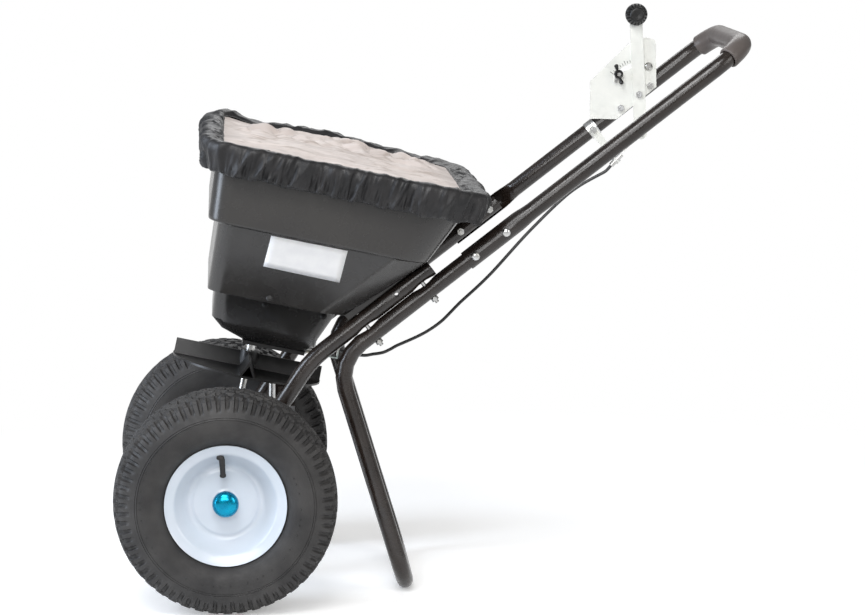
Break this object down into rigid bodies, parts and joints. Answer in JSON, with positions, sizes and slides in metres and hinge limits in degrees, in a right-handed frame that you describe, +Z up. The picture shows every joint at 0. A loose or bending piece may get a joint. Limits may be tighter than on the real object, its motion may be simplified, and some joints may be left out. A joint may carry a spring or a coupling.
{
  "type": "walk-behind broadcast spreader",
  "caption": "Push broadcast spreader: a tilted hopper over a wheel-driven impeller, tube frame and handle, rate lever with cable, and a cloth rain cover with a clear window.",
  "frame": {"origin": "middle of the machine's box at ground level", "axes": "+X backwards, to the user at the handle; +Y to the user's right, the lever's side; +Z up"},
  "size_m": [0.9578, 0.623, 0.8734],
  "materials": {
    "black_paint": "black hammered powder coat",
    "zinc": "bright zinc plate",
    "rim_white": "gloss white enamel",
    "cap_teal": "metallic teal",
    "tyre_rubber": "matt black tyre",
    "black_rubber": "satin black rubber",
    "grip_rubber": "brown-grey soft grip",
    "hopper_plastic": "black moulded plastic",
    "black_plastic": "black plastic",
    "nylon": "natural nylon",
    "cable_black": "black cable sheath",
    "cover_cloth": "black coated nylon cloth",
    "window_vinyl": "pale creased vinyl, milky"
  },
  "bodies": {
    "frame": {"frame_tube_near": "black_paint", "frame_tube_far": "black_paint", "leg_stand": "black_paint", "handle": "black_paint", "grip": "grip_rubber", "hopper": "hopper_plastic", "gate_guide": "black_plastic", "gear_case_near": "black_paint", "gear_case_far": "black_paint", "axle_bush_near": "nylon", "axle_bush_far": "nylon", "cross_brace": "black_paint", "case_stud": "zinc", "shaft_bush": "nylon", "stack_bolt_near_lower": "zinc", "stack_bolt_near_upper": "zinc", "stack_bolt_far_lower": "zinc", "stack_bolt_far_upper": "zinc", "joint_bolt_near_lower": "zinc", "joint_bolt_near_upper": "zinc", "joint_bolt_far_lower": "zinc", "joint_bolt_far_upper": "zinc", "gauge_plate": "zinc", "gauge_bolt_lower": "zinc", "gauge_bolt_upper": "zinc", "pivot_bolt": "zinc", "closed_stop": "zinc", "saddle_clamp": "zinc", "clamp_bolt": "zinc", "cable_strip": "zinc", "cable_adjuster": "zinc", "cable_sheath": "cable_black", "cable_anchor": "zinc"},
    "drive": {"axle": "zinc", "drive_rim": "rim_white", "drive_tyre": "tyre_rubber", "drive_hub_cap": "cap_teal", "drive_valve": "black_rubber", "face_gear": "zinc", "drive_pin": "zinc", "wheel_spacer_near": "zinc", "wheel_spacer_far": "zinc"},
    "idler": {"idler_rim": "rim_white", "idler_tyre": "tyre_rubber", "idler_hub_cap": "cap_teal", "idler_valve": "black_rubber"},
    "spinner": {"impeller_shaft": "zinc", "pinion": "zinc", "impeller": "black_plastic", "shaft_collar": "zinc", "agitator": "zinc"},
    "lever": {"lever": "zinc", "knob": "black_plastic"},
    "core": {"core_wire": "zinc"},
    "gate": {"gate_plate": "zinc", "gate_wire": "zinc"},
    "stop": {"stop_bolt": "zinc"},
    "wing": {"wing_nut": "black_plastic"},
    "cover": {"rain_cover": "cover_cloth", "cover_window": "window_vinyl"}
  },
  "joints": [
    {"name": "drive_spin", "type": "hinge", "parent": "frame", "child": "drive", "pos_m": [-0.31397, 0, 0.165], "axis": [0, 1, 0], "continuous": true},
    {"name": "idler_spin", "type": "hinge", "parent": "frame", "child": "idler", "pos_m": [-0.31397, 0.25, 0.165], "axis": [0, 1, 0], "continuous": true},
    {"name": "impeller_spin", "type": "hinge", "parent": "frame", "child": "spinner", "pos_m": [-0.31397, 0, 0.165], "axis": [0.2079, 0, 0.9781], "continuous": true},
    {"name": "lever_swing", "type": "hinge", "parent": "frame", "child": "lever", "pos_m": [0.34109, 0.1425, 0.73117], "axis": [0, -1, 0], "range_deg": [0, 21.9]},
    {"name": "core_swing", "type": "hinge", "parent": "lever", "child": "core", "pos_m": [0.34412, 0.1365, 0.66924], "axis": [0, -1, 0], "range_deg": [-31.5, 0]},
    {"name": "gate_slide", "type": "slide", "parent": "frame", "child": "gate", "axis": [0.9781, 0, -0.2079], "range_m": [0, 0.022]},
    {"name": "stop_swing", "type": "hinge", "parent": "frame", "child": "stop", "pos_m": [0.34109, 0.1425, 0.73117], "axis": [0, -1, 0], "range_deg": [0, 6]},
    {"name": "wing_turn", "type": "hinge", "parent": "stop", "child": "wing", "pos_m": [0.30789, 0.135, 0.76301], "axis": [0, -1, 0], "continuous": true},
    {"name": "cover_lift", "type": "slide", "parent": "frame", "child": "cover", "axis": [0.2079, 0, 0.9781], "range_m": [0, 0.12]}
  ],
  "couplings": [
    {"joint": "impeller_spin", "follows": "drive_spin", "ratio": 4},
    {"joint": "gate_slide", "follows": "lever_swing", "m_per_rad": 0.0573},
    {"joint": "core_swing", "follows": "lever_swing", "ratio": -1.433}
  ]
}
